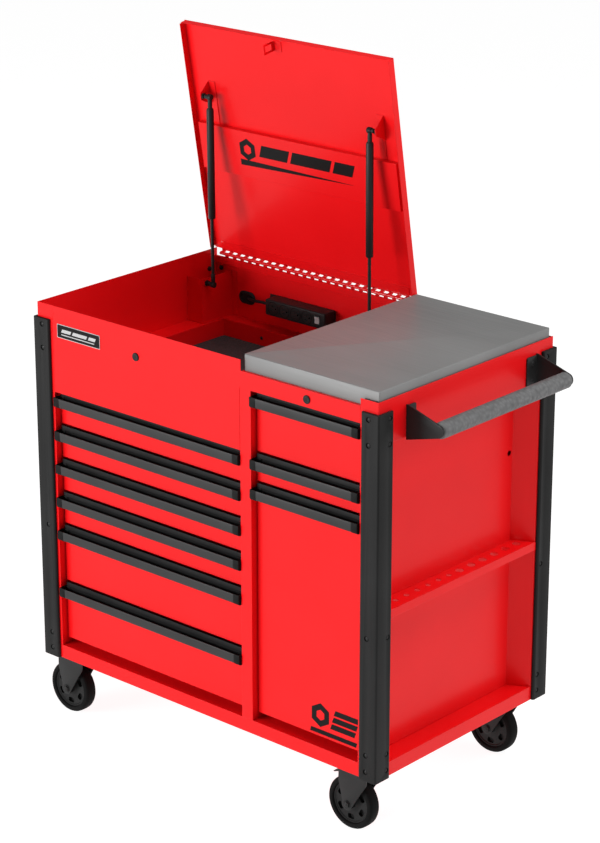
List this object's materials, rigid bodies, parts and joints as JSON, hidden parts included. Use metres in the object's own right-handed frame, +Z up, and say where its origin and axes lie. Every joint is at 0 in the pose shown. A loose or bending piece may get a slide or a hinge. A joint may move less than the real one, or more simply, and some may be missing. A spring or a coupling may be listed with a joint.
{
  "type": "rolling tool chest",
  "caption": "Wide rolling tool chest with a flip-up lid on gas struts, full-width drawer pulls, a steel worktop, a push handle, a side tool shelf and swivel casters.",
  "frame": {"origin": "on the floor below the middle of the bounding box, lead and plug left out", "axes": "+Z up, -Y the way the drawers open, +X towards the push handle"},
  "size_m": [1.1662, 0.7512, 1.6263],
  "materials": {
    "red_paint": "glossy powder coat",
    "black_guard": "satin moulded plastic",
    "black_metal": "satin black paint",
    "pull_black": "black anodised extrusion",
    "steel": "brushed stainless sheet",
    "rubber": "matte black",
    "wheel": "satin tread and hub",
    "light_grey": "satin"
  },
  "bodies": {
    "root": {"base_pan": "red_paint", "left_side_panel": "red_paint", "right_side_panel": "red_paint", "front_frame": "red_paint", "back_panel": "red_paint", "center_partition": "red_paint", "till_pan": "red_paint", "steel_top": "steel", "corner_guard_front_left": "black_guard", "corner_guard_front_right": "black_guard", "corner_guard_rear_left": "black_guard", "corner_guard_rear_right": "black_guard", "side_shelf": "red_paint", "push_handle": "black_metal", "hinge_leaf_chest": "red_paint", "strut_post_left": "red_paint", "strut_post_right": "red_paint", "power_strip": "black_metal", "cable_grommet": "rubber", "power_cord": "rubber", "cord_coil": "rubber", "cord_plug": "rubber"},
    "lid": {"lid_panel": "red_paint", "lid_brace": "red_paint", "hinge_leaf_lid": "red_paint"},
    "strut_left_rod": {"strut_left_rod": "black_metal"},
    "strut_left_tube": {"strut_left_cylinder": "black_metal"},
    "strut_right_rod": {"strut_right_rod": "black_metal"},
    "strut_right_tube": {"strut_right_cylinder": "black_metal"},
    "drawer_left_1": {"drawer_left_1": "red_paint", "drawer_left_1_pull": "pull_black"},
    "drawer_left_2": {"drawer_left_2": "red_paint", "drawer_left_2_pull": "pull_black"},
    "drawer_left_3": {"drawer_left_3": "red_paint", "drawer_left_3_pull": "pull_black"},
    "drawer_left_4": {"drawer_left_4": "red_paint", "drawer_left_4_pull": "pull_black"},
    "drawer_left_5": {"drawer_left_5": "red_paint", "drawer_left_5_pull": "pull_black"},
    "drawer_left_6": {"drawer_left_6": "red_paint", "drawer_left_6_pull": "pull_black"},
    "drawer_right_1": {"drawer_right_1": "red_paint", "drawer_right_1_pull": "pull_black"},
    "drawer_right_2": {"drawer_right_2": "red_paint", "drawer_right_2_pull": "pull_black"},
    "drawer_right_3": {"drawer_right_3": "red_paint", "drawer_right_3_pull": "pull_black"},
    "fork_front_left": {"caster_fork_front_left": "black_metal"},
    "wheel_front_left": {"caster_wheel_front_left": "wheel"},
    "fork_front_right": {"caster_fork_front_right": "black_metal"},
    "wheel_front_right": {"caster_wheel_front_right": "wheel"},
    "brake_front_right": {"brake_pedal_front_right": "black_metal"},
    "fork_rear_left": {"caster_fork_rear_left": "black_metal"},
    "wheel_rear_left": {"caster_wheel_rear_left": "wheel"},
    "fork_rear_right": {"caster_fork_rear_right": "black_metal"},
    "wheel_rear_right": {"caster_wheel_rear_right": "wheel"},
    "brake_rear_right": {"brake_pedal_rear_right": "black_metal"},
    "lock_lid": {"lock_lid": "black_metal"},
    "lock_drawers": {"lock_drawers": "black_metal"},
    "rocker": {"rocker_switch": "light_grey"}
  },
  "joints": [
    {"name": "lid_hinge", "type": "hinge", "parent": "root", "child": "lid", "pos_m": [-0.22575, 0.291, 1.0385], "axis": [1, 0, 0], "range_deg": [0, 80.4]},
    {"name": "strut_left_swing", "type": "hinge", "parent": "root", "child": "strut_left_rod", "pos_m": [-0.47575, 0.209, 0.9856], "axis": [1, 0, 0], "range_deg": [0, 83.34]},
    {"name": "strut_left_slide", "type": "slide", "parent": "strut_left_rod", "child": "strut_left_tube", "axis": [0, 0.0093, -1], "range_m": [0, 0.12443]},
    {"name": "strut_right_swing", "type": "hinge", "parent": "root", "child": "strut_right_rod", "pos_m": [0.02125, 0.209, 0.9856], "axis": [1, 0, 0], "range_deg": [0, 83.34]},
    {"name": "strut_right_slide", "type": "slide", "parent": "strut_right_rod", "child": "strut_right_tube", "axis": [0, 0.0093, -1], "range_m": [0, 0.12443]},
    {"name": "drawer_left_1_slide", "type": "slide", "parent": "root", "child": "drawer_left_1", "axis": [0, -1, 0], "range_m": [0, 0.46]},
    {"name": "drawer_left_2_slide", "type": "slide", "parent": "root", "child": "drawer_left_2", "axis": [0, -1, 0], "range_m": [0, 0.46]},
    {"name": "drawer_left_3_slide", "type": "slide", "parent": "root", "child": "drawer_left_3", "axis": [0, -1, 0], "range_m": [0, 0.46]},
    {"name": "drawer_left_4_slide", "type": "slide", "parent": "root", "child": "drawer_left_4", "axis": [0, -1, 0], "range_m": [0, 0.46]},
    {"name": "drawer_left_5_slide", "type": "slide", "parent": "root", "child": "drawer_left_5", "axis": [0, -1, 0], "range_m": [0, 0.46]},
    {"name": "drawer_left_6_slide", "type": "slide", "parent": "root", "child": "drawer_left_6", "axis": [0, -1, 0], "range_m": [0, 0.46]},
    {"name": "drawer_right_1_slide", "type": "slide", "parent": "root", "child": "drawer_right_1", "axis": [0, -1, 0], "range_m": [0, 0.46]},
    {"name": "drawer_right_2_slide", "type": "slide", "parent": "root", "child": "drawer_right_2", "axis": [0, -1, 0], "range_m": [0, 0.46]},
    {"name": "drawer_right_3_slide", "type": "slide", "parent": "root", "child": "drawer_right_3", "axis": [0, -1, 0], "range_m": [0, 0.46]},
    {"name": "swivel_front_left", "type": "hinge", "parent": "root", "child": "fork_front_left", "pos_m": [-0.48475, -0.2527, 0.15], "axis": [0, 0, 1], "continuous": true},
    {"name": "spin_front_left", "type": "hinge", "parent": "fork_front_left", "child": "wheel_front_left", "pos_m": [-0.51975, -0.2527, 0.0635], "axis": [0, 1, 0], "continuous": true},
    {"name": "swivel_front_right", "type": "hinge", "parent": "root", "child": "fork_front_right", "pos_m": [0.41325, -0.2527, 0.15], "axis": [0, 0, 1], "continuous": true},
    {"name": "spin_front_right", "type": "hinge", "parent": "fork_front_right", "child": "wheel_front_right", "pos_m": [0.37825, -0.2527, 0.0635], "axis": [0, 1, 0], "continuous": true},
    {"name": "brake_front_right", "type": "hinge", "parent": "fork_front_right", "child": "brake_front_right", "pos_m": [0.36625, -0.2527, 0.136], "axis": [0, -1, 0], "range_deg": [0, 12]},
    {"name": "swivel_rear_left", "type": "hinge", "parent": "root", "child": "fork_rear_left", "pos_m": [-0.48475, 0.2527, 0.15], "axis": [0, 0, 1], "continuous": true},
    {"name": "spin_rear_left", "type": "hinge", "parent": "fork_rear_left", "child": "wheel_rear_left", "pos_m": [-0.51975, 0.2527, 0.0635], "axis": [0, 1, 0], "continuous": true},
    {"name": "swivel_rear_right", "type": "hinge", "parent": "root", "child": "fork_rear_right", "pos_m": [0.41325, 0.2527, 0.15], "axis": [0, 0, 1], "continuous": true},
    {"name": "spin_rear_right", "type": "hinge", "parent": "fork_rear_right", "child": "wheel_rear_right", "pos_m": [0.37825, 0.2527, 0.0635], "axis": [0, 1, 0], "continuous": true},
    {"name": "brake_rear_right", "type": "hinge", "parent": "fork_rear_right", "child": "brake_rear_right", "pos_m": [0.36625, 0.2527, 0.136], "axis": [0, -1, 0], "range_deg": [0, 12]},
    {"name": "lock_lid_turn", "type": "hinge", "parent": "root", "child": "lock_lid", "pos_m": [-0.23185, -0.3015, 0.9817], "axis": [0, 1, 0], "range_deg": [0, 90]},
    {"name": "lock_drawers_turn", "type": "hinge", "parent": "root", "child": "lock_drawers", "pos_m": [0.28025, -0.3015, 1], "axis": [0, 1, 0], "range_deg": [0, 90]},
    {"name": "rocker_tilt", "type": "hinge", "parent": "root", "child": "rocker", "pos_m": [-0.18275, 0.262, 0.945], "axis": [-1, 0, 0], "range_deg": [0, 8]}
  ],
  "couplings": [
    {"joint": "strut_left_swing", "follows": "lid_hinge", "ratio": 1.0363},
    {"joint": "strut_left_slide", "follows": "lid_hinge", "m_per_rad": 0.088604},
    {"joint": "strut_right_swing", "follows": "lid_hinge", "ratio": 1.0363},
    {"joint": "strut_right_slide", "follows": "lid_hinge", "m_per_rad": 0.088604}
  ]
}
